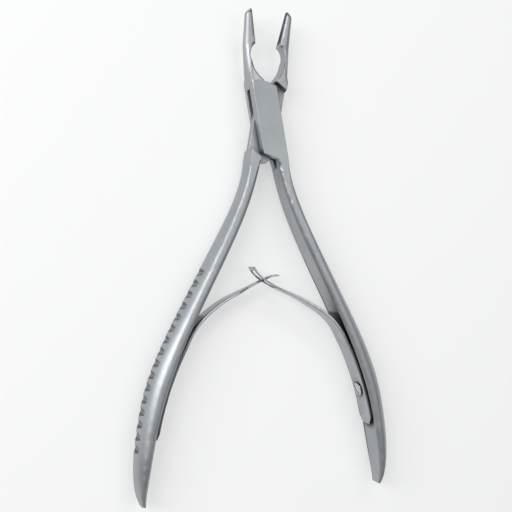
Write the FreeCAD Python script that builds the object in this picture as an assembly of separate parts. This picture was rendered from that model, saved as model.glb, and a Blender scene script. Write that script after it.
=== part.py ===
import FreeCAD, Part
import math
import os

# Bone rongeur, lying on its back with the jaws towards +Y. Millimetres.
# The origin is on the pivot axis, on the back face of the lock. +Z is the pivot axis and points to the
# side that the jaws bend towards. +X is the side of the crossing member's jaw.
# Both members are drawn with the jaws shut, with the middle plane at Z = 0. They are then swung open by
# opening_angle each and lifted by half the lock's thickness. The shut line is the plane X = 0 of that
# drawing. "Below" means towards the handles.

# Whole instrument
opening_angle = 10.0        # each member, from shut to the open rest position
rim_gap = 0.12              # left between the two cutting rims when the jaws are shut
round_strips = 4            # strips that the round outside of a jaw or handle is lofted in

# Box lock
lock_width = 8.8
lock_thickness = 8.2
lock_crown = 0.45           # how far the lock's sides bulge between front and back
slot_width = 2.9            # the through slot, measured along the pivot axis
slot_play = 0.1             # clearance each side of the crossing neck in the slot
box_top = 12.6              # height at which the lock ends and the jaw necks begin
box_bottom = 14.0           # distance below the pivot at which the handles begin
shoulder_slope = 28.0       # slope of both shoulders of the crossing member, degrees
upper_shoulder = 12.15      # where the upper shoulder meets the shut line
lower_shoulder = 13.05      # where the lower shoulder meets the shut line
shoulder_play = 0.25        # clearance between a shoulder and the box plates when shut
slot_top = 14.8             # where the slot's upper end would meet the shut line
slot_top_slope = 47.0       # slope of that end, degrees
slot_foot = 17.2            # where the slot's lower end would meet the shut line
slot_foot_slope = 54.0
slot_end_play = 0.5         # clearance of the crossing neck at the slot's ends
pin_diameter = 4.0
pin_play = 0.04             # radial running clearance of the pin in the crossing neck

# Jaws
heel_height = 24.2          # where the cutting rim starts
jaw_bend = 14.0             # bend of the cutting blade out of the instrument's plane, degrees
blade_length = 11.35
neck_start_height = 16.0    # end of the ramp from the lock down to the neck
base_depth = 4.4            # sizes across the bite, from the shut line outwards
neck_depth = 4.5
heel_depth = 3.6
tip_depth = 1.8
neck_breadth = 5.8          # sizes along the pivot axis
heel_breadth = 3.9
tip_breadth = 2.3
neck_flat = 0.7             # share of each section's depth that has flat sides
heel_flat = 0.5
tip_flat = 0.45
tip_bevel = 40.0            # slope of the ground end of the blade, degrees
rim_width = 0.32            # land round the cup
cup_heel_slope = 38.0       # slope of the cup's pointed lower end, degrees
throat_upper_bow = (-1.9, 22.4)     # the oval between the necks, on the -X side
throat_waist = (-2.3, 19.0)
throat_lower_bow = (-1.75, 15.3)
throat_bottom = (0.35, 11.75)

# Handles
handle_gap = 0.7            # from the shut line to the inner face beside the lock
handle_bevel = 0.8          # bevel along the two inner edges
handle_stations = (
    # distance below the pivot, offset of the middle line, thickness, breadth, share that is flat
    (26.8, 3.7, 3.6, 8.8, 0.8),
    (40.5, 7.4, 4.4, 9.7, 0.66),
    (61.4, 14.05, 5.0, 10.5, 0.5),
    (76.4, 18.4, 5.6, 10.8, 0.45),
    (90.7, 21.2, 5.9, 10.8, 0.42),
    (104.4, 21.8, 5.3, 10.4, 0.42),
    (115.9, 21.1, 4.3, 9.2, 0.45),
    (121.6, 20.1, 2.9, 7.4, 0.5),
    (125.3, 18.7, 1.3, 4.8, 0.5),
)
notch_count = 16
notch_pitch = 3.7           # measured along the shut instrument
notch_first = 52.7          # distance of the first notch below the pivot
notch_length = 2.9          # along the handle, at its outer face
notch_floor = 1.1           # length of the notch's flat bottom
notch_depth = 0.75

# Leaf springs, in the open position
leaf_thickness = 0.9
leaf_seat_gap = 0.08
leaf_foot_length = 12.5     # from the screw down to the end of the foot
leaf_lift_length = 4.4      # from the screw up to where the leaf leaves the handle
leaf_foot_breadth = 7.8
leaf_foot_corner = 2.2      # half breadth of the foot's end
leaf_foot_taper = 2.4
leaf_broad_from = 24.0      # distance from the middle at which the leaf reaches its full breadth
leaf_steps = 12             # steps that the outer side of a leaf is drawn in
window_leaf_bow = ((27.0, 72.4), (22.8, 65.8), (13.5, 59.2))
window_leaf_cross = 52.4    # where the leaf crosses the middle, below the pivot
window_leaf_hook = ((-3.6, 49.7), (-5.2, 47.4))
window_leaf_breadth = 5.6   # breadth of the hooked end
window_leaf_narrow = 5.0    # distance from the middle at which the end breadth starts
window_breadth = 3.0
window_span = (-4.0, 1.6)
tongue_leaf_bow = ((27.0, 72.4), (23.5, 66.2), (16.2, 59.6), (9.5, 55.9))
tongue_leaf_cross = 51.3
tongue_leaf_hook = ((-2.0, 50.5), (-4.3, 50.3))
tongue_leaf_breadth = 4.6
tongue_leaf_narrow = 6.5
tongue_breadth = 2.0
tongue_start = 3.2

# Leaf screws
screw_distance = 92.4       # below the pivot, on the shut handle
screw_head_diameter = 4.4
screw_head_height = 1.0
screw_dome_radius = 4.0
screw_shank_diameter = 2.0
screw_grip = 3.2            # how deep the shank sits in the handle
screw_slot_width = 0.6
screw_slot_depth = 0.45
screw_slot_turn = 35.0      # degrees from the handle's length
screw_seat_gap = 0.05
leaf_hole_play = 0.25

half_width = lock_width / 2
half_thickness = lock_thickness / 2
neck_half = slot_width / 2 - slot_play
wide = half_width + 1       # reach past the lock's sides
far = 60.0                  # reach past everything that a cutter meets
search_steps = 40


def vec(x, y, z=0.0):
    return FreeCAD.Vector(x, y, z)


def flat_face(corners):
    return Part.Face(Part.makePolygon(corners + corners[:1]))


def prism(points, low, high):
    """A flat outline in X and Y, made solid from low to high along the pivot axis."""
    face = flat_face([vec(x, y, low) for x, y in points])
    return face.extrude(vec(0, 0, high - low))


def mirrored(shape):
    """The same piece on the other side of the shut line."""
    return shape.mirror(vec(0, 0), vec(1, 0))


def falling(height, slope, x):
    """Height at x of a line that meets the shut line at height and falls by slope degrees."""
    return height - x * math.tan(math.radians(slope))


def lock_block():
    """Blank of the lock: flat front and back, slightly round sides."""
    edge = half_width - lock_crown
    y = -box_bottom
    front_left = vec(-edge, y, half_thickness)
    front_right = vec(edge, y, half_thickness)
    back_right = vec(edge, y, -half_thickness)
    back_left = vec(-edge, y, -half_thickness)
    edges = [
        Part.LineSegment(front_left, front_right).toShape(),
        Part.Arc(front_right, vec(half_width, y, 0), back_right).toShape(),
        Part.LineSegment(back_right, back_left).toShape(),
        Part.Arc(back_left, vec(-half_width, y, 0), front_left).toShape(),
    ]
    return Part.Face(Part.Wire(edges)).extrude(vec(0, box_bottom + box_top, 0))


def blade_end():
    """Middle of the blade's end, and the direction of its breadth there."""
    bend = math.radians(jaw_bend)
    y = heel_height + blade_length * math.cos(bend)
    return y, blade_length * math.sin(bend), vec(0, -math.sin(bend), math.cos(bend))


def short_arcs(start, crown, end):
    """The round side from start over crown to end, as equal short arcs that loft into narrow strips."""
    arc = Part.Arc(start, crown, end)
    reach = (arc.LastParameter - arc.FirstParameter) / round_strips
    arcs = []
    for number in range(round_strips):
        low = arc.FirstParameter + number * reach
        arcs.append(Part.Arc(arc.value(low), arc.value(low + reach / 2), arc.value(low + reach)).toShape())
    return arcs


def jaw_section(y, z, across, depth, breadth, flat_share):
    """Half-round section: flat towards the bite, round outside, on the -X side."""
    middle = vec(-rim_gap / 2, y, z)
    half = across * (breadth / 2)
    outwards = vec(-depth, 0, 0)
    flat = outwards * flat_share
    edges = [Part.LineSegment(middle + half, middle + flat + half).toShape()]
    edges += short_arcs(middle + flat + half, middle + outwards, middle + flat - half)
    edges.append(Part.LineSegment(middle + flat - half, middle - half).toShape())
    edges.append(Part.LineSegment(middle - half, middle + half).toShape())
    return Part.Wire(edges)


def jaw_blank():
    """Ramp, neck and blade of the jaw on the -X side, before the throat and the cup are cut."""
    half_bend = math.radians(jaw_bend / 2)
    straight = vec(0, 0, 1)
    turned = vec(0, -math.sin(half_bend), math.cos(half_bend))
    depth = base_depth - rim_gap / 2
    base = jaw_section(box_top, 0, straight, depth, lock_thickness, 1 - lock_crown / depth)
    neck = jaw_section(neck_start_height, 0, straight, neck_depth, neck_breadth, neck_flat)
    heel = jaw_section(heel_height, 0, turned, heel_depth, heel_breadth / math.cos(half_bend), heel_flat)
    end_y, end_z, across = blade_end()
    tip = jaw_section(end_y, end_z, across, tip_depth, tip_breadth, tip_flat)
    pieces = [Part.makeLoft([a, b], True, True) for a, b in ((base, neck), (neck, heel), (heel, tip))]
    return pieces[0].fuse(pieces[1:]).removeSplitter()


def on_blade(shape):
    """Moves a shape drawn along +Y from the heel onto the bent blade."""
    shape.rotate(vec(0, 0), vec(1, 0), jaw_bend)
    shape.translate(vec(0, heel_height, 0))
    return shape


def tip_cutter():
    """What is ground off the end of the blade: round in side view, bevelled to the outside."""
    radius = tip_breadth / 2
    start = blade_length - radius
    block = Part.makeBox(far, 2 * tip_breadth, 2 * tip_breadth, vec(-far / 2, start, -tip_breadth))
    drum = Part.makeCylinder(radius, far, vec(-far / 2, start, 0), vec(1, 0, 0))
    reach = tip_depth * 2
    bevel = prism([(0, blade_length), (-reach, falling(blade_length, -tip_bevel, -reach)),
                   (-reach, blade_length + reach), (0, blade_length + reach)], -far, far)
    return on_blade(block.cut(drum).fuse(bevel))


def cup_cutter():
    """The scoop in the bite side of the blade: tapered, round at the tip, pointed at the heel."""
    tip_radius = tip_breadth / 2 - rim_width
    heel_radius = heel_breadth / 2 - rim_width
    end = blade_length - tip_breadth / 2
    taper = (heel_radius - tip_radius) / end
    cone = Part.makeCone(heel_radius * (1 + taper), tip_radius, end + heel_radius,
                         vec(0, -heel_radius, 0), vec(0, 1, 0))
    scoop = cone.fuse(Part.makeSphere(tip_radius, vec(0, end, 0)))
    rise = far * math.tan(math.radians(cup_heel_slope))
    low_side = vec(-far, rise - heel_radius, far)
    high_side = vec(-far, -rise - heel_radius, -far)
    below = flat_face([low_side, high_side, vec(-far, -2 * far, -far), vec(-far, -2 * far, far)])
    scoop = scoop.cut(below.extrude(vec(2 * far, 0, 0)))
    scoop.translate(vec(-rim_gap / 2, 0, 0))
    return on_blade(scoop)


def throat_cutter():
    """The oval between the necks, on the -X side of the shut line."""
    heel = vec(0, heel_height)
    waist = vec(*throat_waist)
    bottom = vec(*throat_bottom)
    edges = [
        Part.Arc(heel, vec(*throat_upper_bow), waist).toShape(),
        Part.Arc(waist, vec(*throat_lower_bow), bottom).toShape(),
        Part.LineSegment(bottom, vec(wide, bottom.y)).toShape(),
        Part.LineSegment(vec(wide, bottom.y), vec(wide, heel_height)).toShape(),
        Part.LineSegment(vec(wide, heel_height), heel).toShape(),
    ]
    face = Part.Face(Part.Wire(edges))
    face.translate(vec(0, 0, -far))
    return face.extrude(vec(0, 0, 2 * far))


def jaw():
    """The jaw on the -X side of the shut line, from the lock to the tip, without its throat."""
    return jaw_blank().cut(tip_cutter()).cut(cup_cutter())


def handle_curve():
    """Middle line of the handle on the +X side, jaws shut, from the lock to the end."""
    points = [vec((handle_gap + half_width) / 2, -box_bottom)]
    points += [vec(station[1], -station[0]) for station in handle_stations]
    curve = Part.BSplineCurve()
    start = vec(0, -box_bottom)
    curve.interpolate(Points=points, InitialTangent=start, FinalTangent=points[-1] - points[-2])
    return curve, points


def handle_section(place, along, thickness, breadth, flat_share, bevel):
    """D-shaped section: flat bevelled inner face, flat edges, round outer face."""
    outwards = vec(-along.y, along.x)
    half = thickness / 2
    side = breadth / 2
    flat = thickness * flat_share - half

    def at(across, height):
        return place + outwards * across + vec(0, 0, height)

    corners = [at(-half, bevel - side), at(-half, side - bevel), at(bevel - half, side), at(flat, side)]
    corners += [at(flat, -side), at(bevel - half, -side)]
    edges = [Part.LineSegment(corners[i], corners[i + 1]).toShape() for i in range(3)]
    edges += short_arcs(corners[3], at(half, 0), corners[4])
    edges.append(Part.LineSegment(corners[4], corners[5]).toShape())
    edges.append(Part.LineSegment(corners[5], corners[0]).toShape())
    return Part.Wire(edges)


def handle():
    """The handle on the +X side, jaws shut, with its notched outer face."""
    curve, points = handle_curve()
    root_thickness = half_width - handle_gap
    sections = [handle_section(points[0], vec(0, -1), root_thickness, lock_thickness,
                               1 - lock_crown / root_thickness, handle_bevel / 2)]
    for point, station in zip(points[1:], handle_stations):
        along = curve.tangent(curve.parameter(point))[0]
        thickness, breadth, flat_share = station[2:]
        bevel = min(handle_bevel, thickness * flat_share / 2)
        sections.append(handle_section(point, along, thickness, breadth, flat_share, bevel))
    return Part.makeLoft(sections, True, False).cut(Part.makeCompound(notch_cutters()))


def handle_at(distance):
    """Frame of the handle's middle line at a distance below the pivot, and the thickness there."""
    curve, points = handle_curve()
    low, high = curve.FirstParameter, curve.LastParameter
    for step in range(search_steps):
        middle = (low + high) / 2
        if curve.value(middle).y > -distance:
            low = middle
        else:
            high = middle
    along = curve.tangent(low)[0]
    for first, second in zip(handle_stations, handle_stations[1:]):
        if first[0] <= distance <= second[0]:
            share = (distance - first[0]) / (second[0] - first[0])
            thickness = first[2] + share * (second[2] - first[2])
    return curve.value(low), along, vec(-along.y, along.x), thickness


def notch_cutters():
    """One flat-bottomed groove per notch, square to the handle's middle line, with sloping sides."""
    cutters = []
    for number in range(notch_count):
        place, along, outwards, thickness = handle_at(notch_first + number * notch_pitch)
        face = place + outwards * (thickness / 2)
        floor = face - outwards * notch_depth
        above = face + outwards * notch_depth
        half_floor = along * (notch_floor / 2)
        half_above = along * (notch_length - notch_floor / 2)
        corners = [floor - half_floor, floor + half_floor, above + half_above, above - half_above]
        cutters.append(prism([(corner.x, corner.y) for corner in corners], -far, far))
    return cutters


def pivot_bore(radius):
    return Part.makeCylinder(radius, 2 * far, vec(0, 0, -far))


def beside_shoulders(play, inner_top, inner_foot):
    """Room of the crossing member's jaw root and handle root, outside the slot's layer."""
    high = upper_shoulder - play
    deep = lower_shoulder - play
    jaw_root = prism([(inner_top, falling(high, shoulder_slope, inner_top)),
                      (wide, falling(high, shoulder_slope, wide)), (wide, far), (inner_top, far)], -far, far)
    handle_root = prism([(inner_foot, falling(-deep, shoulder_slope, inner_foot)),
                         (-wide, falling(-deep, shoulder_slope, -wide)), (-wide, -far), (inner_foot, -far)],
                        -far, far)
    return jaw_root.fuse(handle_root)


def box_slot():
    """The through slot, open on both sides of the lock, with its two slanted ends."""
    reach = wide + 1
    outline = [(-reach, falling(slot_top, -slot_top_slope, -reach)), (0, slot_top), (reach, slot_top)]
    outline += [(reach, falling(-slot_foot, -slot_foot_slope, reach)), (0, -slot_foot), (-reach, -slot_foot)]
    return prism(outline, -slot_width / 2, slot_width / 2)


def box_member():
    """Jaw on the -X side, box lock with its through slot, handle on the +X side."""
    block = lock_block().cut(beside_shoulders(shoulder_play, -rim_gap / 2, handle_gap))
    body = block.fuse([jaw(), handle()]).removeSplitter()
    return body.cut(throat_cutter()).cut(box_slot()).cut(screw_shank()).cut(pivot_bore(pin_diameter / 2))


def cross_member():
    """Jaw on the +X side, thin neck through the slot, handle on the -X side."""
    thin = prism([(-wide, -far), (wide, -far), (wide, far), (-wide, far)], -neck_half, neck_half)
    kept = thin.fuse(beside_shoulders(0, rim_gap / 2, -handle_gap))
    high = slot_top - slot_end_play
    deep = slot_foot - slot_end_play
    upper_end = falling(high, -slot_top_slope, -wide)
    lower_end = falling(-deep, -slot_foot_slope, wide)
    lower_start = falling(-deep, -slot_foot_slope, -handle_gap)
    upper_left = prism([(rim_gap / 2, far), (rim_gap / 2, high), (-wide, upper_end), (-wide, far)], -far, far)
    lower_right = prism([(-handle_gap, -far), (-handle_gap, lower_start), (wide, lower_end), (wide, -far)],
                        -far, far)
    block = lock_block().common(kept).cut(upper_left).cut(lower_right)
    body = block.fuse([mirrored(jaw()), mirrored(handle())]).removeSplitter()
    body = body.cut(mirrored(throat_cutter())).cut(mirrored(screw_shank()))
    return body.cut(pivot_bore(pin_diameter / 2 + pin_play))


def opened(shape, side):
    """Swings a shut piece open: +1 for what is on the box member, -1 for the crossing member."""
    shape = shape.copy()
    shape.rotate(vec(0, 0), vec(0, 0, 1), side * opening_angle)
    return shape


def screw_seat():
    """The leaf screw's seat on the +X handle's inner face, the way out of the face, and along it."""
    place, along, outwards, thickness = handle_at(screw_distance)
    return place - outwards * (thickness / 2), outwards * -1, along


def screw_shank():
    seat, out, along = screw_seat()
    length = screw_grip + leaf_seat_gap + leaf_thickness + screw_seat_gap
    return Part.makeCylinder(screw_shank_diameter / 2, length, seat - out * screw_grip, out)


def leaf_hole():
    """Bore of a leaf's screw hole, from inside the handle to past the leaf."""
    seat, out, along = screw_seat()
    radius = screw_shank_diameter / 2 + leaf_hole_play
    return Part.makeCylinder(radius, 4 * leaf_thickness, seat - out * leaf_thickness, out)


def leaf_screw():
    """Slotted screw with a low domed head, on the +X handle."""
    seat, out, along = screw_seat()
    base = seat + out * (leaf_seat_gap + leaf_thickness + screw_seat_gap)
    head = Part.makeCylinder(screw_head_diameter / 2, screw_head_height, base, out)
    top = base + out * screw_head_height
    head = head.common(Part.makeSphere(screw_dome_radius, top - out * screw_dome_radius))
    half = screw_slot_width / 2
    slot = Part.makeBox(2 * screw_head_diameter, screw_slot_width, screw_head_height,
                        vec(-screw_head_diameter, -half, -screw_slot_depth))
    slot.rotate(vec(0, 0), vec(0, 0, 1), screw_slot_turn)
    slot.Placement = FreeCAD.Placement(top, FreeCAD.Rotation(along, vec(0, 0), out, "ZXY")) * slot.Placement
    return head.fuse(screw_shank()).cut(slot).removeSplitter()


def leaf_curve(bow, cross, hook):
    """Bite-side face of a leaf on the +X side in the open position, from the foot to the hooked end."""
    turn = FreeCAD.Rotation(vec(0, 0, 1), opening_angle)
    points = []
    for below_screw in (leaf_foot_length, leaf_foot_length / 2, 0, -leaf_lift_length):
        place, along, outwards, thickness = handle_at(screw_distance + below_screw)
        points.append(turn.multVec(place - outwards * (thickness / 2 + leaf_seat_gap + leaf_thickness)))
    points += [vec(x, -y) for x, y in bow + ((0, cross),) + hook]
    curve = Part.BSplineCurve()
    curve.interpolate(points)
    return curve


def leaf_back(curve):
    """Outer side of a leaf: points one leaf thickness from its bite side, towards the handle."""
    first, last = curve.FirstParameter, curve.LastParameter
    points = []
    for step in range(leaf_steps + 1):
        parameter = first + (last - first) * step / leaf_steps
        along = curve.tangent(parameter)[0]
        points.append(curve.value(parameter) + vec(along.y, -along.x) * leaf_thickness)
    back = Part.BSplineCurve()
    back.interpolate(points)
    return back


def from_the_side(points):
    """Solid along Y from half breadths at distances from the middle, the same on both halves."""
    upper = [vec(x, -2 * far, half) for x, half in points]
    lower = [vec(x, -2 * far, -half) for x, half in reversed(points)]
    return flat_face(upper + lower).extrude(vec(0, 4 * far, 0))


def leaf(curve, end_points):
    """A leaf on the +X side: a bowed strip with a trimmed foot, tapered towards its hooked end."""
    back = leaf_back(curve)
    foot_end = Part.LineSegment(curve.StartPoint, back.StartPoint).toShape()
    hook_end = Part.LineSegment(curve.EndPoint, back.EndPoint).toShape()
    face = Part.Face(Part.Wire([curve.toShape(), hook_end, back.toShape(), foot_end]))
    face.translate(vec(0, 0, -leaf_foot_breadth))
    strip = face.extrude(vec(0, 0, 2 * leaf_foot_breadth))
    foot_half = leaf_foot_breadth / 2
    strip = strip.common(from_the_side([(far, foot_half), (leaf_broad_from, foot_half)] + end_points))
    foot = curve.StartPoint.y
    for sign in (-1, 1):
        corner = flat_face([vec(0, foot - 1, sign * far), vec(0, foot - 1, sign * leaf_foot_corner),
                            vec(0, foot + leaf_foot_taper, sign * foot_half),
                            vec(0, foot + leaf_foot_taper, sign * far)])
        strip = strip.cut(corner.extrude(vec(far, 0, 0)))
    return strip.cut(opened(leaf_hole(), 1))


def window_leaf():
    """The leaf on the box member, with the window that the other leaf's tongue passes through."""
    half = window_leaf_breadth / 2
    strip = leaf(leaf_curve(window_leaf_bow, window_leaf_cross, window_leaf_hook),
                 [(window_leaf_narrow, half), (-far, half)])
    low, high = window_span
    window = Part.makeBox(high - low, 4 * far, window_breadth, vec(low, -3 * far, -window_breadth / 2))
    return strip.cut(window)


def tongue_leaf():
    """The leaf on the crossing member, which ends in a narrow tongue."""
    end = tongue_leaf_breadth / 2
    tongue = tongue_breadth / 2
    strip = leaf(leaf_curve(tongue_leaf_bow, tongue_leaf_cross, tongue_leaf_hook),
                 [(tongue_leaf_narrow, end), (tongue_start, tongue), (-far, tongue)])
    return mirrored(strip)


def make_pieces():
    return {
        "box_member": opened(box_member(), 1),
        "cross_member": opened(cross_member(), -1),
        "joint_pin": Part.makeCylinder(pin_diameter / 2, lock_thickness, vec(0, 0, -half_thickness)),
        "spring_right": window_leaf(),
        "spring_left": tongue_leaf(),
        "spring_screw_right": opened(leaf_screw(), 1),
        "spring_screw_left": opened(mirrored(leaf_screw()), -1),
    }


os.makedirs("parts", exist_ok=True)
for name, shape in make_pieces().items():
    solid = shape.Solids[0].copy()
    solid.translate(vec(0, 0, half_thickness))
    print(name, "solids:", len(shape.Solids), "volume:", round(solid.Volume, 2), "valid:", solid.isValid())
    solid.exportStep("parts/" + name + ".step")
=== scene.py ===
import math

import bpy
from mathutils import Matrix, Vector


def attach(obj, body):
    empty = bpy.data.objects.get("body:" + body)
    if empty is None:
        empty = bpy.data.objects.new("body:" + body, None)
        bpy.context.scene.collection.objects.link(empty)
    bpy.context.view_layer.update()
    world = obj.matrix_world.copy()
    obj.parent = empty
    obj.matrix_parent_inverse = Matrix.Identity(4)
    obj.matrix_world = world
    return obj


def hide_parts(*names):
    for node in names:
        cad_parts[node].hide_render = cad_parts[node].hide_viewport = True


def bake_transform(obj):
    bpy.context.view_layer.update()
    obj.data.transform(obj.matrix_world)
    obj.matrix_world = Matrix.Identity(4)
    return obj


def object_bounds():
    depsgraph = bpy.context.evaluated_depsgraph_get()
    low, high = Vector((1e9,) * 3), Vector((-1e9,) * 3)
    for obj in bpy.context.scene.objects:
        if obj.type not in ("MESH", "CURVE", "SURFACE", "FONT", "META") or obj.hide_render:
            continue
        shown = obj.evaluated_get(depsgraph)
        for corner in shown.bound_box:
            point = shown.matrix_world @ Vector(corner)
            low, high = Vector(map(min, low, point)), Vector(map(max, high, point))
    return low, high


# Bone rongeur of satin stainless steel, lying open on a pale floor.
# Everything is in metres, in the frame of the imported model.
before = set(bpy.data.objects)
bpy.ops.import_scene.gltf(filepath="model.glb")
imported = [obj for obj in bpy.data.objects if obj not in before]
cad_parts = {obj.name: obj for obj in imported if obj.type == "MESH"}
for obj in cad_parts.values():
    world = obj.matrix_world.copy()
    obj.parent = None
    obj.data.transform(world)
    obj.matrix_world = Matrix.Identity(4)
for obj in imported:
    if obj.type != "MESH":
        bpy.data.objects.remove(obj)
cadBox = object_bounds()
mm = 0.001
nearMm = 0.01      # closer than this counts as the same place


def linear(hexColor):  # sRGB hex to the linear values that the shaders read
    channels = [int(hexColor[i:i + 2], 16) / 255 for i in (1, 3, 5)]
    return [c / 12.92 if c <= 0.04045 else ((c + 0.055) / 1.055) ** 2.4 for c in channels] + [1.0]


def deselectAll():
    if bpy.context.mode != "OBJECT":
        bpy.ops.object.mode_set(mode="OBJECT")
    bpy.ops.object.select_all(action="DESELECT")


def makeActive(piece):
    deselectAll()
    piece.select_set(True)
    bpy.context.view_layer.objects.active = piece


def addNode(tree, kind, settings=None, links=None):  # keys: a socket's name or number, or a property
    node = tree.nodes.new(kind)
    for name, value in (settings or {}).items():
        if isinstance(name, int) or name in node.inputs:
            node.inputs[name].default_value = value
        else:
            setattr(node, name, value)
    for name, source in (links or {}).items():
        tree.links.new(source, node.inputs[name])
    return node


def newMaterial(name):
    material = bpy.data.materials.new(name)
    material.use_nodes = True
    material.node_tree.nodes.clear()
    return material, material.node_tree


# Bead-blasted stainless steel: forged, milled and then blasted with fine glass beads. The eye gets an even
# silk-grey skin with no direction, in which bright things show only as soft smears, and edges that hands
# and trays have rubbed a little brighter.
blastedSteel = {
    "light": "#B2B6B9",
    "dark": "#A2A7AB",
    "worn": "#CDD0D2",
    # painted shade: the colour that slots, corners and hollows darken to
    "paintedShade": "#3C4044",
    "roughness": (0.42, 0.5),
    "grainMm": (0.3, 0.3, 0.3),   # the real dimples are about 0.08 mm, drawn coarser so that they show
    "grainDepthMm": 0.004,
    "cloudMm": 9.0,               # patches that the blasting nozzle's passes leave
    "edgeMm": 0.22,               # radius that belt grinding and tumbling give to the lock's edges
    "jawEdgeMm": 1.2,             # the same on the jaws
    "handleEdgeMm": 1.8,          # and on the handles
    "jawsAtMm": (8.5, 12.5),      # along Y, where the jaws' radius starts and where it is full
    "handlesAtMm": (-14, -24),    # the same for the handles
    "pinReachMm": 2.7,            # the pin is ground flush after assembly, so its ring hardly shows
}

# Spring steel strip: rolled, ground along its length, then tempered. The eye gets fine long scratches
# that stretch each highlight across the strip.
springSteel = {
    "light": "#B4B8BB",
    "dark": "#9CA1A5",
    "worn": "#CDD0D2",
    # painted shade: the colour that slots, corners and hollows darken to
    "paintedShade": "#505457",
    "roughness": (0.27, 0.36),
    "grainMm": (6.0, 0.12, 0.12),
    "grainDepthMm": 0.002,
    "cloudMm": 5.0,
    "edgeMm": 0.1,
}

# Turned and polished screw: the eye gets a brighter, smoother spot than what it holds.
screwSteel = {
    "light": "#D2D4D6",
    "dark": "#BCC0C3",
    "worn": "#DEE0E1",
    # painted shade: the colour that slots, corners and hollows darken to
    "paintedShade": "#4E5255",
    "roughness": (0.2, 0.27),
    "grainMm": (0.25, 0.25, 0.25),
    "grainDepthMm": 0.0015,
    "cloudMm": 3.0,
    "edgeMm": 0.1,
}

# What the three steels share. Painted shade: slots, corners and hollows get a darker colour the more
# closed in they are. On the notched handles and in the cups, far from a point between the lock and the
# springs, even a shallow hollow gets it.
steelSkin = {
    "grainShare": 0.4,            # of the grain in the patches, the rest is cloud
    "patchNoise": (0.36, 0.64),   # noise that gives the dark and the light tone
    "roughNoise": (0.3, 0.7),     # noise that gives the lowest and the highest roughness
    "wornTurn": (0.95, 0.75),     # agreement of the rounded edge with its face where wear starts and is full
    "wornShare": 0.6,
    "hollowMm": 2.4,              # how far round a point its openness is measured
    "openFrom": 0.98,             # openness below which the skin darkens
    "openDarkest": (0.2, 0.88),   # openness at which it is darkest, near that point and far from it
    "middleMm": 10,               # that point, along -Y
    "farMm": (31, 35),            # distance from it where far starts and is full
    # most of the painted shade that shows, in the darkest hollows
    "paintedShadeShare": 0.94,
}


def lockEdges(tree, look, place, rounded, flat):  # crisp at the lock, rounder beyond it, none round the pin
    axes = addNode(tree, "ShaderNodeSeparateXYZ", None, {0: place})
    regions = ((look["jawsAtMm"], look["jawEdgeMm"]), (look["handlesAtMm"], look["handleEdgeMm"]))
    radii = [addNode(tree, "ShaderNodeMapRange",
                     {"From Min": start * mm, "From Max": full * mm, "To Min": look["edgeMm"] * mm,
                      "To Max": radius * mm}, {"Value": axes.outputs["Y"]})
             for (start, full), radius in regions]
    largest = addNode(tree, "ShaderNodeMath", {"operation": "MAXIMUM"},
                      {0: radii[0].outputs["Result"], 1: radii[1].outputs["Result"]})
    tree.links.new(largest.outputs[0], rounded.inputs["Radius"])
    flattened = addNode(tree, "ShaderNodeVectorMath", {"operation": "MULTIPLY", 1: (1, 1, 0)}, {0: place})
    reach = addNode(tree, "ShaderNodeVectorMath", {"operation": "LENGTH"}, {0: flattened.outputs["Vector"]})
    outside = addNode(tree, "ShaderNodeMath", {"operation": "GREATER_THAN", 1: look["pinReachMm"] * mm},
                      {0: reach.outputs["Value"]})
    mixed = addNode(tree, "ShaderNodeMix", {"data_type": "VECTOR"},
                    {0: outside.outputs[0], 4: flat.outputs["Normal"], 5: rounded.outputs["Normal"]})
    return mixed.outputs[1]


def paintedShadeShare(tree, where):  # how much of the painted shade shows, from how closed in the point is
    openness = addNode(tree, "ShaderNodeAmbientOcclusion",
                       {"samples": 8, "Distance": steelSkin["hollowMm"] * mm})
    along = addNode(tree, "ShaderNodeSeparateXYZ", None, {0: where})
    shifted = addNode(tree, "ShaderNodeMath", {"operation": "ADD", 1: steelSkin["middleMm"] * mm},
                      {0: along.outputs["Y"]})
    away = addNode(tree, "ShaderNodeMath", {"operation": "ABSOLUTE"}, {0: shifted.outputs[0]})
    (start, full), (near, far) = steelSkin["farMm"], steelSkin["openDarkest"]
    darkest = addNode(tree, "ShaderNodeMapRange",
                      {"From Min": start * mm, "From Max": full * mm, "To Min": near, "To Max": far},
                      {"Value": away.outputs[0]})
    paintedShadeAmount = addNode(tree, "ShaderNodeMapRange",
                     {"From Min": steelSkin["openFrom"], "To Min": 0.0, "To Max": steelSkin["paintedShadeShare"]},
                     {"Value": openness.outputs["AO"], "From Max": darkest.outputs["Result"]})
    return paintedShadeAmount.outputs["Result"]


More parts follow.
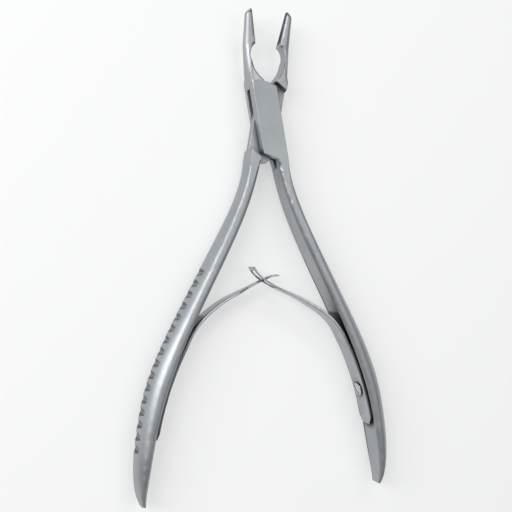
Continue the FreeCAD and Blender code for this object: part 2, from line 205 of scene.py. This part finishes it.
def steelMaterial(name, look, coordinates="Object"):
    material, tree = newMaterial(name)
    coordinate = addNode(tree, "ShaderNodeTexCoord")
    place = coordinate.outputs[coordinates]
    cloud = addNode(tree, "ShaderNodeTexNoise", {"Scale": 1 / (look["cloudMm"] * mm), "Detail": 3.0},
                    {"Vector": place})
    grainScale = addNode(tree, "ShaderNodeMapping", {"Scale": [1 / (size * mm) for size in look["grainMm"]]},
                         {"Vector": place})
    grain = addNode(tree, "ShaderNodeTexNoise", {"Scale": 1.0, "Detail": 2.0},
                    {"Vector": grainScale.outputs["Vector"]})
    both = addNode(tree, "ShaderNodeMix", {"data_type": "FLOAT", 0: steelSkin["grainShare"]},
                   {2: cloud.outputs["Fac"], 3: grain.outputs["Fac"]})
    patches = addNode(tree, "ShaderNodeValToRGB", None, {"Fac": both.outputs[0]})
    for stop, position, tone in zip(patches.color_ramp.elements, steelSkin["patchNoise"], ("dark", "light")):
        stop.position = position
        stop.color = linear(look[tone])

    # rounded edges, and how far they turn from the flat face beside them, which is where they are worn
    flat = addNode(tree, "ShaderNodeNewGeometry")
    rounded = addNode(tree, "ShaderNodeBevel", {"samples": 8, "Radius": look["edgeMm"] * mm})
    edge = rounded.outputs["Normal"]
    if "jawEdgeMm" in look:
        edge = lockEdges(tree, look, place, rounded, flat)
    agree = addNode(tree, "ShaderNodeVectorMath", {"operation": "DOT_PRODUCT"},
                    {0: edge, 1: flat.outputs["Normal"]})
    start, full = steelSkin["wornTurn"]
    worn = addNode(tree, "ShaderNodeMapRange",
                   {"From Min": start, "From Max": full, "To Min": 0.0, "To Max": steelSkin["wornShare"]},
                   {"Value": agree.outputs["Value"]})
    edged = addNode(tree, "ShaderNodeMix", {"data_type": "RGBA", 7: linear(look["worn"])},
                    {0: worn.outputs["Result"], 6: patches.outputs["Color"]})
    # painted shade in slots, corners and hollows, laid over the patches and worn edges
    color = addNode(tree, "ShaderNodeMix", {"data_type": "RGBA", 7: linear(look["paintedShade"])},
                    {0: paintedShadeShare(tree, coordinate.outputs["Object"]), 6: edged.outputs[2]})
    (quiet, loud), (low, high) = steelSkin["roughNoise"], look["roughness"]
    rough = addNode(tree, "ShaderNodeMapRange",
                    {"From Min": quiet, "From Max": loud, "To Min": low, "To Max": high},
                    {"Value": both.outputs[0]})
    bump = addNode(tree, "ShaderNodeBump", {"Strength": 1.0, "Distance": look["grainDepthMm"] * mm},
                   {"Height": grain.outputs["Fac"], "Normal": edge})
    shader = addNode(tree, "ShaderNodeBsdfPrincipled", {"Metallic": 1.0},
                     {"Base Color": color.outputs[2], "Roughness": rough.outputs["Result"],
                      "Normal": bump.outputs["Normal"]})
    addNode(tree, "ShaderNodeOutputMaterial", None, {"Surface": shader.outputs["BSDF"]})
    return material


memberFinish = steelMaterial("beadBlastedStainlessSteel", blastedSteel)
leafFinish = steelMaterial("groundSpringSteel", springSteel, "UV")
screwFinish = steelMaterial("turnedPolishedSteel", screwSteel)
print("materials made")


def dressNode(name, material):  # the pin and the screws keep the shape that the frame gives them
    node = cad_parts[name]
    node.data.materials.clear()
    node.data.materials.append(material)


dressNode("joint_pin", memberFinish)
for name in ("spring_screw_right", "spring_screw_left"):
    dressNode(name, screwFinish)
print("frame nodes dressed")


def selectWhere(piece, kind, test):  # faces, edges or points whose middle passes the test
    bpy.ops.object.mode_set(mode="OBJECT")
    mesh = piece.data
    for part in (mesh.vertices, mesh.edges, mesh.polygons):
        for item in part:
            item.select = False
    for item in getattr(mesh, kind):
        corners = [item.co] if kind == "vertices" else [mesh.vertices[i].co for i in item.vertices]
        item.select = test(sum(corners, Vector()) / len(corners) / mm)
    bpy.ops.object.mode_set(mode="EDIT")


def cutOut(piece, cutter):  # takes the cutter's shape out of the piece
    makeActive(piece)
    cut = piece.modifiers.new("cut", "BOOLEAN")
    cut.operation = "DIFFERENCE"
    cut.object = cutter
    bpy.ops.object.modifier_apply(modifier="cut")
    bpy.data.objects.remove(cutter)


# The cup that is milled into the bite side of each blade, and the forged members that it is cut in. A member
# is the frame's solid with its cup: the blade starts at the heel and leans forward from there.
cupShape = {
    "heelMm": 24.2,              # from the pivot to the heel
    "bladeMm": 11.35,            # from the heel to the tip
    "breadthsMm": (3.9, 2.3),    # of the blade, at the heel and at the tip
    "rimMm": 0.32,               # land left round the cup
    "gapMm": 0.12,               # between the two rims when the jaws are shut
    "leanDeg": 14.0,
    "openDeg": 10.0,             # each jaw's half of the opening at rest
    "heelSlopeDeg": 38.0,        # of the pointed lower end
    "sides": 48,                 # round the cutter
    "roundSteps": 6,             # in its ball-shaped upper end
    "roundDeg": 88,              # how far they go, which leaves a speck of flat face at the very end
    "middleMm": 4.1,             # height of the lock's middle above its back
    "neckMm": 11.5,              # where the necks of the jaws start
    "weldMm": 0.002,             # corners nearer than this are joined, so that the cut finds a closed mesh
    "smoothDeg": 30,
}


def makeScoop(side):  # the cutter, for the jaw on that side of the shut line
    heel, tip = (breadth / 2 - cupShape["rimMm"] for breadth in cupShape["breadthsMm"])
    end = cupShape["bladeMm"] - cupShape["breadthsMm"][1] / 2
    length = end + heel
    wide = heel + (heel - tip) / end * heel
    deselectAll()
    bpy.ops.mesh.primitive_cone_add(vertices=cupShape["sides"], radius1=wide * mm, radius2=tip * mm,
                                    depth=length * mm, location=(0, (end - length / 2) * mm, 0),
                                    rotation=(-math.pi / 2, 0, 0))
    scoop = bpy.context.object
    bpy.ops.object.transform_apply(location=True, rotation=True, scale=True)
    bpy.ops.object.mode_set(mode="EDIT")
    bpy.ops.mesh.select_mode(type="FACE")
    selectWhere(scoop, "polygons", lambda co: co.y > end - nearMm)
    place, radius = end, tip
    for step in range(1, cupShape["roundSteps"] + 1):
        turn = math.radians(cupShape["roundDeg"] * step / cupShape["roundSteps"])
        nextPlace, nextRadius = end + tip * math.sin(turn), tip * math.cos(turn)
        bpy.ops.mesh.extrude_region_move(TRANSFORM_OT_translate={"value": (0, (nextPlace - place) * mm, 0)})
        bpy.ops.transform.resize(value=(nextRadius / radius, 1, nextRadius / radius),
                                 center_override=(0, nextPlace * mm, 0))
        place, radius = nextPlace, nextRadius
    slope = math.radians(cupShape["heelSlopeDeg"])
    bpy.ops.mesh.select_all(action="SELECT")
    bpy.ops.mesh.bisect(plane_co=(0, cupShape["rimMm"] * mm, -heel * mm),
                        plane_no=(0, math.cos(slope), -math.sin(slope)), use_fill=True, clear_inner=True)
    bpy.ops.object.mode_set(mode="OBJECT")
    onBlade = (Matrix.Rotation(math.radians(-side * cupShape["openDeg"]), 4, "Z")
               @ Matrix.Translation((side * cupShape["gapMm"] / 2 * mm, cupShape["heelMm"] * mm, 0))
               @ Matrix.Rotation(math.radians(cupShape["leanDeg"]), 4, "X"))
    scoop.matrix_world = Matrix.Translation((0, 0, cupShape["middleMm"] * mm)) @ onBlade
    bpy.ops.object.transform_apply(location=True, rotation=True, scale=True)
    return scoop


def makeMember(name, body, side):
    member = bpy.data.objects.new(name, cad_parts[body].data.copy())
    bpy.context.scene.collection.objects.link(member)
    makeActive(member)
    bpy.ops.object.mode_set(mode="EDIT")
    bpy.ops.mesh.select_all(action="SELECT")
    bpy.ops.mesh.remove_doubles(threshold=cupShape["weldMm"] * mm)
    bpy.ops.object.mode_set(mode="OBJECT")
    cutOut(member, makeScoop(side))
    member.data.materials.clear()
    member.data.materials.append(memberFinish)
    makeActive(member)
    bpy.ops.object.shade_smooth_by_angle(angle=math.radians(cupShape["smoothDeg"]))
    bpy.ops.object.mode_set(mode="EDIT")
    bpy.ops.mesh.select_mode(type="FACE")
    selectWhere(member, "polygons", lambda co: co.y < cupShape["neckMm"])
    bpy.ops.mesh.faces_shade_flat()   # below the jaws the facets are small, and the material rounds them
    bpy.ops.object.mode_set(mode="OBJECT")
    even = member.modifiers.new("evenShading", "WEIGHTED_NORMAL")
    even.keep_sharp = True
    bpy.ops.object.modifier_apply(modifier="evenShading")
    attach(member, body)
    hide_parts(body)
    print(name, "made,", len(member.data.polygons), "faces")


makeMember("box_member_forging", "box_member", -1)
makeMember("cross_member_forging", "cross_member", 1)


# The two leaf springs. Each is a strip, modelled flat along X with its breadth along Z and its bite side
# towards +Y, and then bent along its line. Lines are given on the +X side; the left leaf is mirrored.
leafShape = {
    "thicknessMm": 0.9,
    "middleMm": 4.1,        # height of the strip's middle above the back of the lock
    "edgeMm": 0.16,         # how far the rolled edges are rounded
    "edgeSteps": 3,
    "edgeDeg": 50,          # only edges that turn by more are rounded
    "smoothDeg": 35,
    "stepMm": 1.1,          # spacing of the stations that the strip is bent at
    "clearMm": 0.4,         # no such station lies nearer than this to a change of outline
    "guideSteps": 24,       # of the curve that bends the strip, between two points of its line
    "laneShare": 0.5,       # of the breadth, taken by the middle lane before the window sets it
    "holeMm": 1.25,         # radius of the screw hole
    "drillMm": 6,           # length of the drill, well past the strip on both sides
    "drillSides": 32,
}

# line: the bite side from the foot to the hooked end, millimetres in X and -Y, open position
# breadths: distance along the strip and half breadth there
# taper: distance along the strip and share of the thickness there
rightLeaf = {
    "line": ((36.12, 100.1), (34.84, 93.99), (33.35, 88.32), (32.1, 84.29), (27.0, 72.4), (22.8, 65.8),
             (13.5, 59.2), (0.0, 52.4), (-3.6, 49.7), (-5.2, 47.4)),
    "breadths": ((0.0, 2.2), (2.4, 3.9), (31.0, 3.9), (58.0, 2.8), (71.0, 2.8)),
    "taper": ((0.0, 1.0), (46.0, 1.0), (62.0, 0.58), (71.0, 0.58)),
    "windowMm": (60.2, 69.7),
    "windowHalfMm": 1.95,
    "sign": 1,
}
leftLeaf = {
    "line": ((36.12, 100.1), (34.84, 93.99), (33.35, 88.32), (32.1, 84.29), (27.0, 72.4), (23.5, 66.2),
             (16.2, 59.6), (9.5, 55.9), (0.0, 51.3), (-2.0, 50.5), (-4.3, 50.3)),
    "breadths": ((0.0, 2.2), (2.4, 3.9), (31.0, 3.9), (54.0, 2.3), (58.0, 1.0), (69.0, 1.0)),
    "taper": ((0.0, 1.0), (46.0, 1.0), (62.0, 0.7), (69.0, 0.6)),
    "windowMm": None,       # it ends in a tongue
    "sign": -1,
}
screwSeatMm = (34.29, -88.06)      # on the +X handle's inner face, open position
screwAxis = (-0.964, -0.265)


def valueAt(table, distance):  # value between the rows of a table of distances and values
    for (first, firstValue), (second, secondValue) in zip(table, table[1:]):
        if distance <= second:
            return firstValue + (secondValue - firstValue) * (distance - first) / (second - first)
    return table[-1][1]


def leafLine(leaf):  # smooth guide curve through the leaf's points, and its length
    data = bpy.data.curves.new("leafLine", "CURVE")
    data.dimensions = "2D"
    data.resolution_u = leafShape["guideSteps"]
    spline = data.splines.new("BEZIER")
    spline.bezier_points.add(len(leaf["line"]) - 1)
    for point, (x, y) in zip(spline.bezier_points, leaf["line"]):
        point.co = (x * leaf["sign"] * mm, -y * mm, leafShape["middleMm"] * mm)
        point.handle_left_type = "AUTO"
        point.handle_right_type = "AUTO"
    guide = bpy.data.objects.new("leafLine", data)
    bpy.context.scene.collection.objects.link(guide)
    bpy.context.view_layer.update()
    return guide, spline.calc_length()


def stationsOf(leaf, length):  # where the strip's cross lines lie: steady steps, and each change of outline
    count = round(length / leafShape["stepMm"])
    marks = {distance for distance, half in leaf["breadths"] if 0 < distance < length}
    marks.update(leaf["windowMm"] or ())
    steady = [length * number / count for number in range(1, count + 1)]
    kept = [place for place in steady if all(abs(place - mark) > leafShape["clearMm"] for mark in marks)]
    return sorted(kept + list(marks))


def spread(strip, station, oldHalf, newHalf):  # sets the breadth of the cross line at a station
    selectWhere(strip, "vertices", lambda co: co.x > station - nearMm)
    bpy.ops.transform.resize(value=(1, 1, newHalf / oldHalf), center_override=(0, 0, 0))


def laneHalf(leaf, distance):  # half breadth of the middle lane, before the window sets it
    return valueAt(leaf["breadths"], distance) * leafShape["laneShare"]


def drawStrip(name, leaf, stations):  # flat, in three lanes
    deselectAll()
    bpy.ops.mesh.primitive_plane_add(size=1.0, rotation=(math.pi / 2, 0, 0))
    strip = bpy.context.object
    strip.name = name
    half = valueAt(leaf["breadths"], 0.0)
    place = stations[0]
    strip.scale = (place * mm, 2 * half * mm, 1)
    strip.location = (place / 2 * mm, 0, 0)
    bpy.ops.object.transform_apply(location=True, rotation=True, scale=True)
    for side in (-1, 1):
        bpy.ops.object.mode_set(mode="EDIT")
        bpy.ops.mesh.select_all(action="SELECT")
        bpy.ops.mesh.bisect(plane_co=(0, 0, side * laneHalf(leaf, 0.0) * mm), plane_no=(0, 0, 1))
    bpy.ops.mesh.select_mode(type="VERT")
    spread(strip, place, half, valueAt(leaf["breadths"], place))
    for station in stations[1:]:
        selectWhere(strip, "vertices", lambda co: co.x > place - nearMm)
        bpy.ops.mesh.extrude_region_move(TRANSFORM_OT_translate={"value": ((station - place) * mm, 0, 0)})
        spread(strip, station, valueAt(leaf["breadths"], place), valueAt(leaf["breadths"], station))
        place = station
    return strip


def openWindow(strip, leaf):  # the middle lane gets the window's breadth, and its faces go
    low, high = leaf["windowMm"]
    widening = leaf["windowHalfMm"] / laneHalf(leaf, low)
    selectWhere(strip, "vertices", lambda co: (low - nearMm < co.x < high + nearMm
                                               and abs(co.z) < laneHalf(leaf, co.x) + nearMm))
    bpy.ops.transform.resize(value=(1, 1, widening), center_override=(0, 0, 0))
    bpy.ops.mesh.select_mode(type="FACE")
    selectWhere(strip, "polygons", lambda co: low < co.x < high and abs(co.z) < nearMm)
    bpy.ops.mesh.delete(type="FACE")


def drillLeaf(strip, leaf):  # hole for the screw's shank, along the screw
    axis = Vector((screwAxis[0] * leaf["sign"], screwAxis[1], 0))
    seat = Vector((screwSeatMm[0] * leaf["sign"], screwSeatMm[1], leafShape["middleMm"])) * mm
    deselectAll()
    bpy.ops.mesh.primitive_cylinder_add(vertices=leafShape["drillSides"], radius=leafShape["holeMm"] * mm,
                                        depth=leafShape["drillMm"] * mm, location=seat,
                                        rotation=axis.to_track_quat("Z", "Y").to_euler())
    cutOut(strip, bpy.context.object)


def finishLeaf(strip, guide, leaf):  # thickness, rolled edges and bend
    taper = strip.vertex_groups.new(name="taper")
    for vertex in strip.data.vertices:
        taper.add([vertex.index], valueAt(leaf["taper"], vertex.co.x / mm), "REPLACE")
    thick = strip.modifiers.new("thickness", "SOLIDIFY")
    thick.thickness = leafShape["thicknessMm"] * mm
    thick.offset = leaf["sign"]
    thick.vertex_group = "taper"
    edges = strip.modifiers.new("rolledEdges", "BEVEL")
    edges.width = leafShape["edgeMm"] * mm
    edges.segments = leafShape["edgeSteps"]
    edges.angle_limit = math.radians(leafShape["edgeDeg"])
    bend = strip.modifiers.new("bend", "CURVE")
    bend.object = guide
    bend.deform_axis = "POS_X"
    for modifier in list(strip.modifiers):
        bpy.ops.object.modifier_apply(modifier=modifier.name)
    bpy.data.objects.remove(guide)


def makeLeaf(name, spring, leaf):  # spring is the node that it stands for, which is hidden
    guide, length = leafLine(leaf)
    strip = drawStrip(name, leaf, stationsOf(leaf, length / mm))
    if leaf["windowMm"]:
        openWindow(strip, leaf)
    bpy.ops.mesh.select_all(action="SELECT")
    bpy.ops.uv.cube_project(cube_size=1.0, scale_to_bounds=False, correct_aspect=False)
    bpy.ops.object.mode_set(mode="OBJECT")
    finishLeaf(strip, guide, leaf)
    drillLeaf(strip, leaf)
    makeActive(strip)
    bpy.ops.object.shade_smooth_by_angle(angle=math.radians(leafShape["smoothDeg"]))
    strip.data.materials.append(leafFinish)
    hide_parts(spring)
    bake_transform(strip)
    print(name, "made,", len(strip.data.polygons), "faces")


makeLeaf("spring_right_strip", "spring_right", rightLeaf)
makeLeaf("spring_left_strip", "spring_left", leftLeaf)


studio = {
    "floor": "#F6F7F8",
    "floorGlow": 0.5,         # share of the white that camera and metal see whatever the lamps do
    "glow": "#FFFFFF",
    "floorSize": 1.6,
    "world": "#FFFFFF",
    "worldStrength": 0.33,
}

lamps = {
    # name: place, aim, width and height in metres, watts
    "leftSoftbox": ((-0.5, 0.15, 0.45), (0.0, -0.02, 0.0), (0.28, 0.58), 3.2),
    "overheadPanel": ((0.2, -0.02, 0.62), (0.0, -0.04, 0.0), (0.24, 0.5), 0.64),
    "jawSoftbox": ((0.16, 0.46, 0.44), (0.0, 0.015, 0.0), (0.3, 0.16), 0.7),
}


def makeFloor():
    lowest = cadBox[0][2]
    bpy.ops.mesh.primitive_plane_add(size=studio["floorSize"], location=(0, 0, lowest))
    floor = bpy.context.object
    floor.name = "floor"
    bpy.ops.object.transform_apply(location=True, rotation=True, scale=True)
    material, tree = newMaterial("paleFloorPaper")
    rays = addNode(tree, "ShaderNodeLightPath")
    mirrored = addNode(tree, "ShaderNodeMath", {"operation": "ADD", "use_clamp": True},
                       {0: rays.outputs["Is Glossy Ray"], 1: rays.outputs["Is Transmission Ray"]})
    direct = addNode(tree, "ShaderNodeMath", {"operation": "ADD", "use_clamp": True},
                     {0: rays.outputs["Is Camera Ray"], 1: mirrored.outputs[0]})
    share = addNode(tree, "ShaderNodeMath", {"operation": "MULTIPLY", 1: studio["floorGlow"]},
                    {0: direct.outputs[0]})
    paper = addNode(tree, "ShaderNodeBsdfDiffuse", {"Color": linear(studio["floor"])})
    glow = addNode(tree, "ShaderNodeEmission", {"Color": linear(studio["glow"]), "Strength": 1.0})
    both = addNode(tree, "ShaderNodeMixShader", None,
                   {0: share.outputs[0], 1: paper.outputs[0], 2: glow.outputs[0]})
    addNode(tree, "ShaderNodeOutputMaterial", None, {"Surface": both.outputs[0]})
    floor.data.materials.append(material)


def makeWorld():
    world = bpy.data.worlds.new("studioRoom")
    world.use_nodes = True
    bpy.context.scene.world = world
    background = world.node_tree.nodes["Background"]
    background.inputs["Color"].default_value = linear(studio["world"])
    background.inputs["Strength"].default_value = studio["worldStrength"]


def makeLamp(name, place, aim, size, watts):
    data = bpy.data.lights.new(name, "AREA")
    data.shape = "RECTANGLE"
    data.size, data.size_y = size
    data.energy = watts
    lamp = bpy.data.objects.new(name, data)
    bpy.context.scene.collection.objects.link(lamp)
    lamp.location = place
    lamp.rotation_euler = (Vector(aim) - Vector(place)).to_track_quat("-Z", "Y").to_euler()


deselectAll()
makeFloor()
makeWorld()
for name, settings in lamps.items():
    makeLamp(name, *settings)
print("studio made")


# The camera of the photograph: above the instrument, turned 20 degrees to its left.
camera = {
    "turn": 20.0,                 # degrees from straight above, towards -X
    "distanceMm": 266.5,
    "aimMm": (-3.34, -43.8, 4.1),
    "lens": 58.46,
    "sensor": 36.0,
    "clipStart": 0.01,            # metres
}


def makeCamera():
    turn = math.radians(camera["turn"])
    data = bpy.data.cameras.new("camera")
    data.sensor_width = camera["sensor"]
    data.lens = camera["lens"]
    data.clip_start = camera["clipStart"]
    eye = bpy.data.objects.new("camera", data)
    bpy.context.scene.collection.objects.link(eye)
    back = Vector((-math.sin(turn), 0, math.cos(turn)))
    eye.location = (Vector(camera["aimMm"]) + back * camera["distanceMm"]) * mm
    eye.rotation_euler = (0, -turn, 0)
    bpy.context.scene.camera = eye


makeCamera()
bpy.context.scene.view_settings.view_transform = "Standard"
print("camera made")
